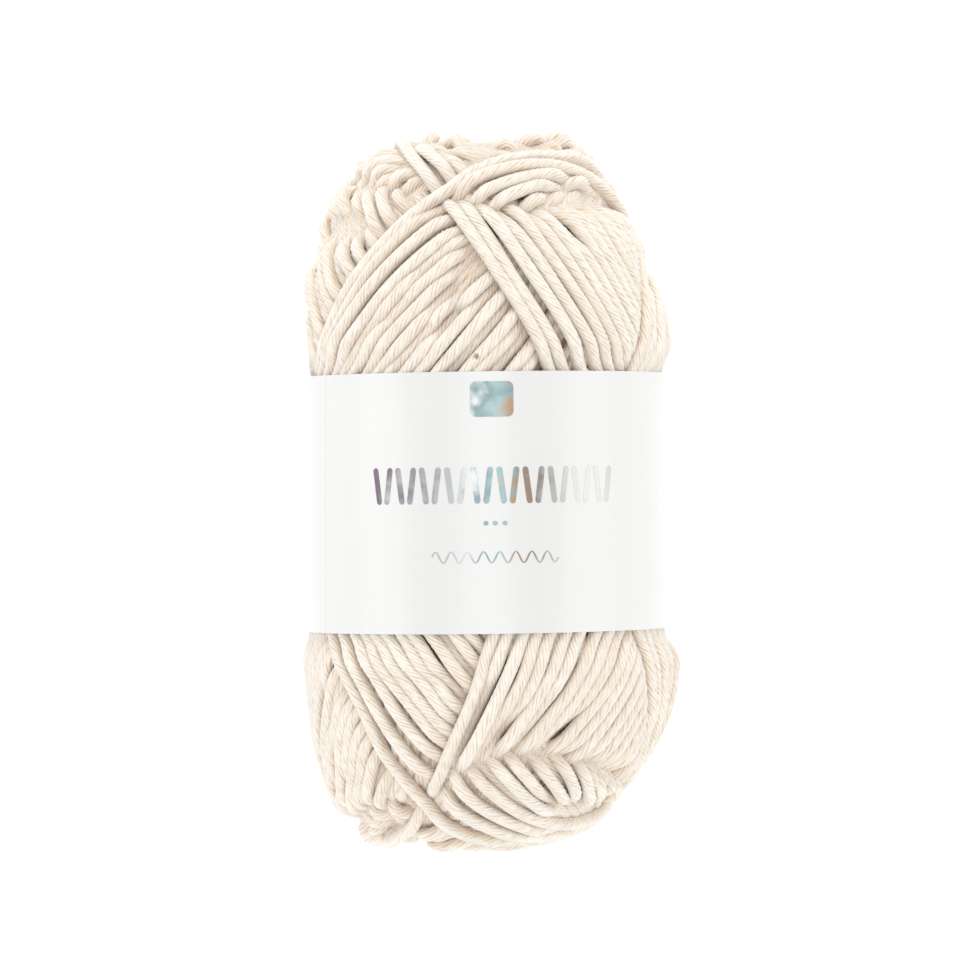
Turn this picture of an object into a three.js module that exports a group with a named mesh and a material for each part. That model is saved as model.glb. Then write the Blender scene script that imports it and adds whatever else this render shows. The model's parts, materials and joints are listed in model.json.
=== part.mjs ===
import * as THREE from 'three';

// A small centre-pull ball of DK cotton yarn with a paper band round its middle.
// Millimetres, +Z up. The ball lies on its side: its long axis runs along Y, the front of
// the band looks up, and the flat spot that it rests on is the plane Z = 0.
// Azimuths are in degrees round the long axis, from 0 on the front (+Z) towards +X.

// ---- Outer form of the wound ball
const BALL_LENGTH = 102.6;
const BALL_RADIUS = 27.3;
// Exponents of the outline at the two ends: 2 is an ellipse, more is squarer.
const UPPER_SQUARENESS = 2.9;
const LOWER_SQUARENESS = 3.5;
const AXIS_HEIGHT = 24.6; // lower than the radius, which leaves the flat spot
const DIMPLE_DEPTH = 5.0; // the hollow at each end, where the yarn pulls out
const DIMPLE_RADIUS = 6.5;

// How far the wound form leans off its axis, as a hand-sized soft ball does.
const LEAN = [
  { along: -51, aside: -5.0 },
  { along: -46, aside: -1.2 },
  { along: -38, aside: -0.1 },
  { along: -20, aside: 1.0 },
  { along: 16, aside: 0.3 },
  { along: 32, aside: -0.7 },
  { along: 46, aside: -0.9 },
  { along: 51, aside: 1.2 },
];

// ---- The winding
// Every turn arches over an end, clear of the dimple, and runs down to the other end much
// as a straight line would on the unrolled surface. Later turns lie on earlier ones, so the
// turns form overlapping laps: each lap is thickest at its newest turn and thins out to its
// oldest, where the next lap's newest turn covers it.
const LAP_DEPTH = 1.25;
const LAP_EDGE = 0.08; // share of a lap that its newest edge takes to rise
const LAP_START = 7; // distance from the axis where the laps begin to stand out
const LAP_FULL = 12; // and where they have their full depth

// The newest turn of each lap: the azimuth of its arch, how far from the axis it arches,
// and how fast it turns round the ball against a straight line.
const LAPS = [
  { end: 1, azimuth: -88.6, reach: 12.1, turning: 1.106 },
  { end: 1, azimuth: 46.5, reach: 15.6, turning: 1.074 },
  { end: 1, azimuth: 170, reach: 14.0, turning: 1.08 },
  { end: -1, azimuth: -88, reach: 9.7, turning: 0.984 },
  { end: -1, azimuth: 39.6, reach: 13.0, turning: 1.063 },
  { end: -1, azimuth: 160, reach: 13.0, turning: 1.05 },
];

// ---- The paper band
const BAND_WIDTH = 35.5;
const BAND_MIDDLE = -2.2; // along Y
const BAND_RADIUS = 25.2; // outside
const BAND_THICKNESS = 0.4;
const BAND_ROLL = 0.7; // degrees that it sits out of square
const BAND_GAP = 0.35; // between the paper and the yarn
const BAND_SIDES = 96;
const YARN_EDGE = 0.8; // how far past the band the yarn stays as narrow as under it
const YARN_SHOULDER = 3.5; // and where it has swollen out again

// ---- Facets
const AROUND = 72;
const ROWS = [
  { until: BAND_MIDDLE - BAND_WIDTH / 2 - YARN_EDGE, count: 21 },
  { until: BAND_MIDDLE + BAND_WIDTH / 2 + YARN_EDGE, count: 10 },
  { until: BALL_LENGTH, count: 21 },
];
const WALK_STEPS = 1600; // steps used to measure the outline's length

const YARN_COLOUR = 0xe6dac6;
const PAPER_COLOUR = 0xf2f2f0;

const radians = THREE.MathUtils.degToRad;
const { clamp, smoothstep, lerp } = THREE.MathUtils;

/** A point of the outline, from one end (0) to the other (1): radius and place along Y. */
function outlinePoint(share) {
  const angle = (share - 0.5) * Math.PI;
  const power = 2 / (share < 0.5 ? LOWER_SQUARENESS : UPPER_SQUARENESS);
  const radius = BALL_RADIUS * Math.abs(Math.cos(angle)) ** power;
  const reach = (BALL_LENGTH / 2) * Math.abs(Math.sin(angle)) ** power;
  const dimple = DIMPLE_DEPTH * Math.exp(-((radius / DIMPLE_RADIUS) ** 2));
  return { radius, along: Math.sign(angle) * (reach - dimple) };
}

/** Rows of points along the outline, each with how far the laps have turned by there. */
function outlineRows() {
  const walk = [];
  let length = 0;
  let before = outlinePoint(0);
  for (let step = 0; step <= WALK_STEPS; step += 1) {
    const point = outlinePoint(step / WALK_STEPS);
    const stride = Math.hypot(point.radius - before.radius, point.along - before.along);
    length += stride;
    walk.push({ ...point, length, stride, turns: new Map() });
    before = point;
  }
  for (const lap of LAPS) {
    sumTurns(lap.end < 0 ? walk : [...walk].reverse(), lap);
  }
  const rows = [];
  let start = 0;
  for (const { until, count } of ROWS) {
    const stop = walk.findLast((point) => point.along <= until).length;
    for (let row = 1; row <= count; row += 1) {
      const wanted = lerp(start, stop, row / count);
      rows.push(walk.find((point) => point.length >= wanted));
    }
    start = stop;
  }
  return rows.slice(0, -1);
}

/** Adds up the azimuth that a lap's newest turn sweeps between its arch and each point. */
function sumTurns(walk, lap) {
  let turn = 0;
  for (const point of walk) {
    if (point.radius > lap.reach) {
      const slope = Math.sqrt(point.radius ** 2 - lap.reach ** 2);
      turn += (lap.turning * lap.reach * point.stride) / (point.radius * slope);
    }
    point.turns.set(lap, THREE.MathUtils.radToDeg(turn));
  }
}

/** Share of a lap's depth left at an azimuth: 1 by its newest turn, 0 at its oldest. */
function lapHeight(azimuth, newest) {
  const full = 360;
  let height = 0;
  newest.forEach((start, index) => {
    const next = newest[(index + 1) % newest.length];
    const spread = (((next - start) % full) + full) % full;
    const age = ((((azimuth - start) % full) + full) % full) / spread;
    if (age < 1) {
      height = smoothstep(age, 0, LAP_EDGE) * (1 - age);
    }
  });
  return height;
}

/** How far the laps stand below the outer form at one place on the ball. */
function lapDrop(row, azimuth) {
  const laps = LAPS.filter((lap) => lap.end === (row.along < 0 ? -1 : 1));
  const rising = laps.map((lap) => lap.azimuth - row.turns.get(lap));
  const falling = laps.map((lap) => lap.azimuth + row.turns.get(lap));
  const height = lapHeight(azimuth, rising) + lapHeight(azimuth, falling);
  return LAP_DEPTH * smoothstep(row.radius, LAP_START, LAP_FULL) * (2 - height);
}

/** Sideways lean of the wound form at a place along Y. */
function leanAt(along) {
  const last = LEAN.length - 1;
  const next = clamp(LEAN.findIndex((row) => row.along > along), 1, last);
  const above = LEAN[next];
  const below = LEAN[next - 1];
  const share = clamp((along - below.along) / (above.along - below.along), 0, 1);
  return lerp(below.aside, above.aside, smoothstep(share, 0, 1));
}

/** One point of the yarn's surface, held in where the band goes round it. */
function yarnPoint(row, azimuth) {
  const angle = radians(azimuth);
  const belt = BAND_RADIUS - BAND_THICKNESS - BAND_GAP;
  const past = Math.abs(row.along - BAND_MIDDLE) - BAND_WIDTH / 2;
  const free = smoothstep(past, YARN_EDGE, YARN_SHOULDER);
  const shrink = row.radius / BALL_RADIUS;
  const loose = row.radius - lapDrop(row, azimuth) * shrink;
  const radius = lerp(Math.min(loose, belt), loose, free);
  const rolled = (BAND_MIDDLE - row.along) * Math.tan(radians(BAND_ROLL));
  const aside = lerp(rolled, leanAt(row.along), free);
  const floor = lerp(BAND_THICKNESS + BAND_GAP, 0, free);
  const height = AXIS_HEIGHT + radius * Math.cos(angle);
  return [aside + radius * Math.sin(angle), row.along, Math.max(height, floor)];
}

/** The wound ball: rows of points round the axis, closed by a point at each end. */
function yarnGeometry() {
  const rows = outlineRows();
  const ends = [outlinePoint(0), outlinePoint(1)];
  const [first, last] = ends.map((end) => [leanAt(end.along), end.along, AXIS_HEIGHT]);
  const positions = [...first];
  for (const row of rows) {
    for (let side = 0; side < AROUND; side += 1) {
      positions.push(...yarnPoint(row, (360 * side) / AROUND));
    }
  }
  positions.push(...last);

  const faces = [];
  const vertex = (row, side) => 1 + row * AROUND + (side % AROUND);
  const lastVertex = 1 + rows.length * AROUND;
  for (let side = 0; side < AROUND; side += 1) {
    faces.push(0, vertex(0, side + 1), vertex(0, side));
    faces.push(lastVertex, vertex(rows.length - 1, side), vertex(rows.length - 1, side + 1));
    for (let row = 0; row + 1 < rows.length; row += 1) {
      const corner = vertex(row, side);
      const opposite = vertex(row + 1, side + 1);
      faces.push(corner, vertex(row, side + 1), opposite);
      faces.push(corner, opposite, vertex(row + 1, side));
    }
  }
  const geometry = new THREE.BufferGeometry();
  geometry.setAttribute('position', new THREE.Float32BufferAttribute(positions, 3));
  geometry.setIndex(faces);
  geometry.computeVertexNormals();
  return geometry;
}

/** The band's outline seen along Y: round, and flat where the ball rests. */
function bandOutline(radius, lowest) {
  const points = [];
  for (let side = 0; side < BAND_SIDES; side += 1) {
    const angle = (2 * Math.PI * side) / BAND_SIDES;
    const height = AXIS_HEIGHT - radius * Math.cos(angle);
    points.push(new THREE.Vector2(radius * Math.sin(angle), Math.max(height, lowest)));
  }
  return points;
}

/** The paper band, a sleeve drawn in the XZ plane and run back along Y. */
function bandGeometry() {
  const shape = new THREE.Shape(bandOutline(BAND_RADIUS, 0));
  shape.holes.push(new THREE.Path(bandOutline(BAND_RADIUS - BAND_THICKNESS, BAND_THICKNESS)));
  return new THREE.ExtrudeGeometry(shape, { depth: BAND_WIDTH, bevelEnabled: false, steps: 1 });
}

function named(name, geometry, colour, roughness) {
  const material = new THREE.MeshStandardMaterial({ color: colour, roughness, metalness: 0 });
  const mesh = new THREE.Mesh(geometry, material);
  mesh.name = name;
  return mesh;
}

const ball = new THREE.Group();
ball.add(named('yarn_ball', yarnGeometry(), YARN_COLOUR, 0.9));

const bandSeat = new THREE.Group();
bandSeat.position.y = BAND_MIDDLE;
bandSeat.rotation.z = radians(BAND_ROLL);
const band = named('paper_band', bandGeometry(), PAPER_COLOUR, 0.45);
band.rotation.x = Math.PI / 2;
band.position.y = BAND_WIDTH / 2;
bandSeat.add(band);
ball.add(bandSeat);

// The origin lies on the rest plane, under the middle of the ball's box.
const middle = new THREE.Box3().setFromObject(ball, true).getCenter(new THREE.Vector3());
ball.position.set(-middle.x, -middle.y, 0);

const group = new THREE.Group();
group.add(ball);

export default group;
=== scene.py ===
"""A small centre-pull ball of cotton yarn in its paper band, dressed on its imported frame.

The ball lies on its side. Its long axis runs along Y and the front of the band looks up
+Z. Azimuths go round the long axis, from 0 on the front towards +X. Lengths are metres.
"""

from __future__ import annotations

import json
import logging
import math
from collections.abc import Callable
from dataclasses import dataclass, field
from enum import Enum

import bpy
import numpy as np
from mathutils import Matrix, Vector

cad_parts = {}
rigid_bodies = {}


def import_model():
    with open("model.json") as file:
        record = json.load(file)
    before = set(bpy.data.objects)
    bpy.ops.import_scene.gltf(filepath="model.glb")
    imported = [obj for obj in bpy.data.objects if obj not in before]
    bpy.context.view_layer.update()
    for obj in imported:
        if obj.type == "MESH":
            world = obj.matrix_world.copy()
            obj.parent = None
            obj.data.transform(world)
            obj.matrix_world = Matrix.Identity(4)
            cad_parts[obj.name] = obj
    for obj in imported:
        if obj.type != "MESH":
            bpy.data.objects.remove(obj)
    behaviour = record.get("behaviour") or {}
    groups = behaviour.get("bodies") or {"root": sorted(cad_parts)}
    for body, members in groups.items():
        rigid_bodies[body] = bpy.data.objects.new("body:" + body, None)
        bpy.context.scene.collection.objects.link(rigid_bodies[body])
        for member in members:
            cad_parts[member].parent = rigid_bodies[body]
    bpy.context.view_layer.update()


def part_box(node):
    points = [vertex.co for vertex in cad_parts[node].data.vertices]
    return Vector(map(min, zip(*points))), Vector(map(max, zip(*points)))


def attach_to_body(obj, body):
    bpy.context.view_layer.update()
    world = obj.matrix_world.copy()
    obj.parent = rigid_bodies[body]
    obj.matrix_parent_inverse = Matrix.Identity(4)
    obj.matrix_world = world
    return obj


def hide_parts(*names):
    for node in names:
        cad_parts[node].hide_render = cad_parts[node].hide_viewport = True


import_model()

LOG = logging.getLogger("yarn_ball")
MM = 0.001
BODY = "root"
YARN_NODE = "yarn_ball"
BAND_NODE = "paper_band"


def smoothstep(low: float, high: float, value: np.ndarray) -> np.ndarray:
    """Eases numbers from 0 at low to 1 at high."""
    share = np.clip((value - low) / (high - low), 0.0, 1.0)
    return share * share * (3.0 - 2.0 * share)


def blend(first: np.ndarray, second: np.ndarray, share: np.ndarray) -> np.ndarray:
    """Mixes two arrays, all of the first at share 0 and all of the second at share 1."""
    return first + (second - first) * share


def unit(vectors: np.ndarray) -> np.ndarray:
    """Scales rows of vectors to length 1."""
    return vectors / np.linalg.norm(vectors, axis=-1, keepdims=True)


def smoothed(values: np.ndarray, size: int) -> np.ndarray:
    """Averages each number with its neighbours, in a soft window of a size."""
    kernel = np.hanning(size + 2)[1:-1]
    return np.convolve(np.pad(values, size // 2, mode="edge"), kernel / kernel.sum(), "valid")


class End(Enum):
    """The two ends of the ball, by the sign of Y."""

    UPPER = 1
    LOWER = -1


# ---------------------------------------------------------------------------- shaders


@dataclass
class Sock:
    """A shader socket or a plain number, on which Python expressions add Math nodes."""

    sheet: "NodeSheet"
    link: object

    def _math(self, operation: str, *others: object) -> "Sock":
        """Adds one Math node that works on this value and the others."""
        values = [self.link] + [o.link if isinstance(o, Sock) else o for o in others]
        return self.sheet.node("ShaderNodeMath", {"operation": operation}, values)

    def __add__(self, other: object) -> "Sock":
        """self + other."""
        return self._math("ADD", other)

    __radd__ = __add__

    def __sub__(self, other: object) -> "Sock":
        """self - other."""
        return self._math("SUBTRACT", other)

    def __rsub__(self, other: object) -> "Sock":
        """other - self."""
        return Sock(self.sheet, other)._math("SUBTRACT", self)

    def __mul__(self, other: object) -> "Sock":
        """self * other."""
        return self._math("MULTIPLY", other)

    __rmul__ = __mul__

    def __truediv__(self, other: object) -> "Sock":
        """self / other."""
        return self._math("DIVIDE", other)

    def clamp(self) -> "Sock":
        """Holds the value between 0 and 1."""
        return self.sheet.node("ShaderNodeClamp", {}, [self.link, 0.0, 1.0])


class NodeSheet:
    """One material's nodes, with short calls to add and join them."""

    def __init__(self, name: str) -> None:
        """Starts an empty material.

        Args:
            name: Its name.
        """
        self.material = bpy.data.materials.new(name)
        self.material.use_nodes = True
        self.tree = self.material.node_tree
        self.tree.nodes.clear()
        self.output = self.tree.nodes.new("ShaderNodeOutputMaterial")

    def node(self, kind: str, settings: dict, inputs: object, out: object = 0) -> Sock:
        """Adds a node.

        Args:
            kind: Its type name.
            settings: Its own settings; "stops" fills a colour ramp.
            inputs: Values or links of its sockets, in order or by name.
            out: Which output is wanted.

        Returns:
            That output.
        """
        node = self.tree.nodes.new(kind)
        for key, value in settings.items():
            if key == "stops":
                self._fill_ramp(node.color_ramp, value)
            else:
                setattr(node, key, value)
        pairs = inputs.items() if isinstance(inputs, dict) else enumerate(inputs)
        for key, value in pairs:
            link = value.link if isinstance(value, Sock) else value
            if isinstance(link, bpy.types.NodeSocket):
                self.tree.links.new(link, node.inputs[key])
            elif link is not None:
                node.inputs[key].default_value = link
        return Sock(self, node.outputs[out])

    @staticmethod
    def _fill_ramp(ramp: bpy.types.ColorRamp, stops: tuple) -> None:
        """Puts stops on a ramp.

        Args:
            ramp: The ramp.
            stops: Places and colours.
        """
        while len(ramp.elements) < len(stops):
            ramp.elements.new(1.0)
        for element, (place, colour) in zip(ramp.elements, stops):
            element.position = place
            element.color = (*colour, 1.0)

    def mix(self, share: Sock, first: object, second: object) -> Sock:
        """Mixes two colours or links, all of the second at share 1."""
        pair = [(*c, 1.0) if isinstance(c, tuple) else c for c in (first, second)]
        return self.node("ShaderNodeMix", {"data_type": "RGBA"}, {0: share, 6: pair[0], 7: pair[1]}, 2)

    def attribute(self, name: str) -> Sock:
        """Reads a number stored on the piece's own mesh."""
        return self.node("ShaderNodeAttribute", {"attribute_name": name}, {}, "Fac")

    def place(self) -> Sock:
        """Object coordinates."""
        return self.node("ShaderNodeTexCoord", {}, {}, "Object")

    def scaled(self, vector: Sock, scale: tuple) -> Sock:
        """Stretches coordinates along each axis."""
        return self.node("ShaderNodeMapping", {}, {"Vector": vector, "Scale": scale})

    def noise(self, vector: Sock, scale: float, detail: float = 2.0) -> Sock:
        """Soft noise between 0 and 1."""
        inputs = {"Vector": vector, "Scale": scale, "Detail": detail}
        return self.node("ShaderNodeTexNoise", {}, inputs, "Fac")

    def bump(self, height: Sock, distance: float, strength: float = 1.0) -> Sock:
        """A Bump node over a height, its depth in metres."""
        inputs = {"Height": height, "Distance": distance, "Strength": strength}
        return self.node("ShaderNodeBump", {}, inputs)

    def finish(self, inputs: dict) -> bpy.types.Material:
        """Joins a Principled shader to the output.

        Args:
            inputs: Values or links of the shader's sockets, by name.

        Returns:
            The material.
        """
        shader = self.node("ShaderNodeBsdfPrincipled", {}, inputs)
        self.tree.links.new(shader.link, self.output.inputs["Surface"])
        return self.material


@dataclass(frozen=True)
class CottonFinish:
    """Matt plied cotton: cream, with brown painted shade in the grooves between plies and between
    turns.

    Attributes:
        fleck: Place of a dark fleck, from the band's middle in X.
        fleck_edge: How sharp its edge is, in shares to the metre.
        tone_spread: How much a strand's own tone counts.
        blotchiness: How much soft blotches count.
        dash_contrast: How sharply the painted groove shade breaks into dashes.
        dash_level: How much of it stays dark.
        groove_shade: Painted shade of a groove between dashes, and what a dash adds.
        buried_shade: Painted shade that depth in the pile and a side turned from the top add.
        shade_lift: Painted shade that is taken off everywhere.
    """

    name: str = "cotton_cream"
    cream: tuple = (0.95, 0.86, 0.735)
    pale: tuple = (0.985, 0.94, 0.86)
    # The brown of the painted shade in grooves and between turns.
    shade: tuple = (0.62, 0.44, 0.28)
    fleck: tuple = (-1.1 * MM, 17.8 * MM, 49.2 * MM)
    fleck_brown: tuple = (0.28, 0.19, 0.13)
    fleck_radius: float = 0.55 * MM
    fleck_edge: float = 3500.0
    fibre_scale: tuple = (700.0, 5200.0, 1.0)
    fibre_shade: float = 0.8
    fibre_depth: float = 0.05 * MM
    dash_scale: tuple = (620.0, 2400.0, 1.0)
    dash_contrast: float = 3.6
    dash_level: float = 0.48
    groove_shade: tuple = (0.08, 0.72)
    buried_shade: float = 0.40
    shade_lift: float = 0.03
    blotch_scale: float = 900.0
    blotchiness: float = 0.5
    tone_spread: float = 0.35

    def make(self) -> bpy.types.Material:
        """Builds the finish.

        Returns:
            Its material.
        """
        sheet = NodeSheet(self.name)
        uv = sheet.node("ShaderNodeUVMap", {"uv_map": "strand"}, {})
        fibres = sheet.noise(sheet.scaled(uv, self.fibre_scale), 1.0, 3.0)
        dashes = sheet.noise(sheet.scaled(uv, self.dash_scale), 1.0, 2.0)
        dashes = ((dashes - 0.5) * self.dash_contrast + self.dash_level).clamp()
        blotch = sheet.noise(sheet.place(), self.blotch_scale, 3.0)
        tone = sheet.attribute("tone") * self.tone_spread + 0.5 + (blotch - 0.5) * self.blotchiness
        body = sheet.mix(tone.clamp(), self.cream, self.pale)
        # Painted shade: grooves between plies, buried yarn and strand sides turned from the top are
        # pulled towards the brown shade colour.
        groove = 1.0 - sheet.attribute("ply_top")
        buried = 1.0 - sheet.attribute("on_top")
        low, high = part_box(BAND_NODE)
        spot = Vector(self.fleck) + Vector(((low.x + high.x) / 2, 0.0, 0.0))
        away = sheet.node("ShaderNodeVectorMath", {"operation": "DISTANCE"},
                          [sheet.place(), spot], "Value")
        least, most = self.groove_shade
        dark = groove * (dashes * most + least) + (0.5 - fibres) * self.fibre_shade
        dark = (dark + buried * self.buried_shade - self.shade_lift).clamp()
        colour = sheet.mix(dark, body, self.shade)
        fleck = ((self.fleck_radius - away) * self.fleck_edge + (blotch - 0.5) * 2.0).clamp()
        colour = sheet.mix(fleck, colour, self.fleck_brown)
        normal = sheet.bump(fibres, self.fibre_depth, 0.6)
        return sheet.finish(
            {
                "Base Color": colour,
                "Roughness": 0.88,
                "Normal": normal,
                "Sheen Weight": 0.9,
                "Sheen Roughness": 0.6,
                "Specular IOR Level": 0.2,
            }
        )


@dataclass(frozen=True)
class CoreFinish:
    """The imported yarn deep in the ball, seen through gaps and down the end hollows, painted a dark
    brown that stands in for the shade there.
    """

    name: str = "cotton_core_painted_shade"
    # Painted shade: both colours are browns for the shade down the gaps and hollows.
    light: tuple = (0.52, 0.36, 0.23)
    dark: tuple = (0.30, 0.18, 0.10)
    grain_scale: float = 700.0
    grain_depth: float = 0.6 * MM

    def make(self) -> bpy.types.Material:
        """Builds the finish.

        Returns:
            Its material.
        """
        sheet = NodeSheet(self.name)
        grain = sheet.noise(sheet.place(), self.grain_scale, 4.0)
        normal = sheet.bump(grain, self.grain_depth)
        colour = sheet.mix(grain, self.dark, self.light)
        return sheet.finish({"Base Color": colour, "Roughness": 0.95, "Normal": normal})


@dataclass(frozen=True)
class PaperFinish:
    """White coated paper with a slight gloss, a faint tooth and a grey line of painted shade along its
    fold at one side.

    Attributes:
        fold: The place of the fold's line of painted shade, from the band's middle in X.
        greying: How much clouds, the tooth and the fold's painted shade grey the white.
        roughness: The least roughness, and what clouds add.
        relief: Depth of its tooth and clouds.
    """

    name: str = "band_paper"
    fold: float = -21.9 * MM
    fold_width: float = 0.16 * MM
    white: tuple = (0.785, 0.785, 0.778)
    grey: tuple = (0.73, 0.73, 0.72)
    tooth_scale: float = 2600.0
    cloud_scale: float = 45.0
    greying: tuple = (0.4, 0.15, 0.9)
    roughness: tuple = (0.30, 0.12)
    relief: float = 0.04 * MM

    def make(self) -> bpy.types.Material:
        """Builds the finish.

        Returns:
            Its material.
        """
        sheet = NodeSheet(self.name)
        place = sheet.place()
        tooth = sheet.noise(place, self.tooth_scale, 3.0)
        cloud = sheet.noise(place, self.cloud_scale, 2.0)
        low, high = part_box(BAND_NODE)
        fold = (low.x + high.x) / 2 + self.fold
        aside = sheet.node("ShaderNodeSeparateXYZ", {}, [place], "X") - fold
        # Painted shade: a thin grey line along the bottom of the band's crease.
        fold_shade = (1.0 - aside * aside / self.fold_width**2).clamp()
        by_cloud, by_tooth, by_fold_shade = self.greying
        shade = (cloud * by_cloud + tooth * by_tooth + fold_shade * by_fold_shade).clamp()
        colour = sheet.mix(shade, self.white, self.grey)
        least, more = self.roughness
        rough = least + cloud * more
        normal = sheet.bump(tooth * 0.4 + cloud, self.relief, 0.5)
        return sheet.finish(
            {
                "Base Color": colour,
                "Roughness": rough,
                "Normal": normal,
                "Coat Weight": 0.25,
                "Coat Roughness": 0.18,
            }
        )


@dataclass(frozen=True)
class FoilFinish:
    """Stamped foil that breaks the light into patches of colour, painted as a run of reflection
    colours across X.

    Attributes:
        reflection_sweep: Shares of the run of painted reflection colours to the metre in X.
        mottle: How far patches stray along it.
        stops: The run's places and its painted reflection colours.
    """

    name: str = "band_foil"
    reflection_sweep: float = 19.0
    mottle: float = 0.16
    mottle_scale: float = 420.0
    grain_scale: float = 6000.0
    grain_depth: float = 0.01 * MM
    stops: tuple = (
        (0.22, (0.13, 0.10, 0.13)),
        (0.28, (0.30, 0.29, 0.31)),
        (0.36, (0.62, 0.62, 0.62)),
        (0.44, (0.57, 0.59, 0.59)),
        (0.48, (0.19, 0.27, 0.28)),
        (0.54, (0.30, 0.42, 0.42)),
        (0.575, (0.46, 0.32, 0.21)),
        (0.615, (0.36, 0.30, 0.25)),
        (0.65, (0.52, 0.52, 0.50)),
        (0.85, (0.50, 0.50, 0.49)),
    )

    def make(self) -> bpy.types.Material:
        """Builds the finish.

        Returns:
            Its material.
        """
        sheet = NodeSheet(self.name)
        place = sheet.place()
        reflection_sweep = sheet.node("ShaderNodeSeparateXYZ", {}, [place], "X") * self.reflection_sweep + 0.5
        mottle = (sheet.noise(place, self.mottle_scale, 2.0) - 0.5) * self.mottle
        # Painted reflection: the foil's colour patches are set by place in X, not by the light.
        colour = sheet.node("ShaderNodeValToRGB", {"stops": self.stops}, [(reflection_sweep + mottle).clamp()])
        grain = sheet.noise(place, self.grain_scale, 1.0)
        normal = sheet.bump(grain, self.grain_depth, 0.3)
        return sheet.finish(
            {
                "Base Color": colour,
                "Roughness": 0.28,
                "Metallic": 0.55,
                "Normal": normal,
            }
        )


@dataclass(frozen=True)
class FloorFinish:
    """A plain pale studio floor."""

    name: str = "studio_floor"
    glow: float = 0.2

    def make(self) -> bpy.types.Material:
        """Builds the finish.

        Returns:
            Its material.
        """
        return NodeSheet(self.name).finish(
            {
                "Base Color": (0.95, 0.95, 0.95, 1.0),
                "Roughness": 0.9,
                "Emission Color": (1.0, 1.0, 1.0, 1.0),
                "Emission Strength": self.glow,
            }
        )


# ------------------------------------------------------------------------ the ball's form


@dataclass(frozen=True)
class Lap:
    """One lap of turns laid side by side, from its newest turn to its oldest.

    Attributes:
        rows: Turns that set its course: the age in cycles, the azimuth of the arch over the
            end in degrees, the arch's reach from the axis in millimetres, and how fast the
            turn goes round the ball against a straight line.
    """

    rows: tuple

    def at(self, age: float) -> np.ndarray:
        """Azimuth, reach and turning of the turn of an age, between the rows."""
        table = np.array(self.rows)
        return np.array([np.interp(age, table[:, 0], column) for column in table[:, 1:].T])


# The cycles of three turns that a lap takes, and the laps of each end from the first laid
# to the last. A lap's last row meets the next lap's first one. The turns at -88.6 (again as
# 271.4), 46.5 at age 0 and 112.4 degrees of the upper end, and at -88 (272), -65.5 and 39.6
# at age 0 of the lower one, are rounded least-squares fits to points along real turns. Those
# at 33, 86, 72.5 and 46.5 at age 3 are close to other such fits and most likely began as
# them. The rest were set one by one.
CYCLES = 25
UPPER_LAPS = (
    Lap(((0, 170, 14.0, 1.08), (CYCLES, 271.4, 12.1, 1.106))),
    Lap(((0, -88.6, 12.1, 1.106), (5, -58, 13.0, 1.06), (CYCLES, 46.5, 14.0, 1.02))),
    Lap(((0, 46.5, 15.6, 1.074), (1, 33, 18.0, 0.855), (3, 46.5, 20.0, 0.84),
         (6, 86, 17.8, 1.1), (12.2, 112.4, 17.1, 1.08), (CYCLES, 170, 15.0, 1.08))),
)
LOWER_LAPS = (
    Lap(((0, 160, 13.0, 1.05), (CYCLES, 272, 9.7, 0.984))),
    Lap(((0, -88, 9.7, 0.984), (9.4, -65.5, 15.3, 1.17), (CYCLES, 39.6, 12.0, 1.0))),
    Lap(((0, 39.6, 13.0, 1.063), (1, 44, 15.6, 0.99), (3, 53, 18.3, 0.9), (4, 60, 18.3, 0.92),
         (5.4, 72.5, 17.0, 1.01), (CYCLES, 160, 13.0, 1.05))),
)
STRAND = 1.8 * MM


@dataclass
class Outline:
    """The outline of one end of the ball, by distance along it from the ball's middle.

    Attributes:
        squareness: Its exponent: 2 is an ellipse, more is squarer.
    """

    squareness: float
    length: float = 102.6 * MM
    radius: float = 27.3 * MM
    dimple_depth: float = 5.0 * MM
    dimple_radius: float = 6.5 * MM
    samples: int = 4000
    distances: np.ndarray = field(init=False)
    radii: np.ndarray = field(init=False)
    alongs: np.ndarray = field(init=False)
    tilts: np.ndarray = field(init=False)

    def __post_init__(self) -> None:
        """Measures the outline at even distances."""
        angle = np.linspace(0.0, math.pi / 2, self.samples)
        power = 2.0 / self.squareness
        radius = self.radius * np.abs(np.cos(angle)) ** power
        along = self.length / 2 * np.abs(np.sin(angle)) ** power
        along -= self.dimple_depth * np.exp(-((radius / self.dimple_radius) ** 2))
        strides = np.hypot(np.diff(radius), np.diff(along))
        distance = np.concatenate([[0.0], np.cumsum(strides)])
        self.distances = np.linspace(0.0, distance[-1], self.samples)
        self.radii = np.interp(self.distances, distance, radius)
        self.alongs = np.interp(self.distances, distance, along)
        step = self.distances[1]
        self.tilts = np.arctan2(-np.gradient(self.radii, step), np.gradient(self.alongs, step))

    @property
    def reach(self) -> float:
        """Distance from the ball's middle to the end of its axis."""
        return float(self.distances[-1])

    def radius_at(self, distance: np.ndarray) -> np.ndarray:
        """Radius from the axis at a distance."""
        return np.interp(distance, self.distances, self.radii)

    def along_at(self, distance: np.ndarray) -> np.ndarray:
        """Place along the axis at a distance, from the ball's middle."""
        return np.interp(distance, self.distances, self.alongs)

    def tilt_at(self, distance: np.ndarray) -> np.ndarray:
        """Angle of the outward normal above the cross-section's plane."""
        return np.interp(distance, self.distances, self.tilts)

    def turned(self, reach: float, turning: float) -> np.ndarray:
        """Degrees that a turn sweeps between its arch and each distance.

        Args:
            reach: The arch's reach from the axis, in millimetres.
            turning: How fast it turns against a straight line.

        Returns:
            One value for each distance.
        """
        clear = self.radii > reach * MM
        slope = np.sqrt(np.where(clear, self.radii**2 - (reach * MM) ** 2, 1.0))
        rate = np.where(clear, reach * MM * self.distances[1] / (self.radii * slope), 0.0)
        return np.degrees(turning * np.cumsum(rate[::-1])[::-1])


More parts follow.
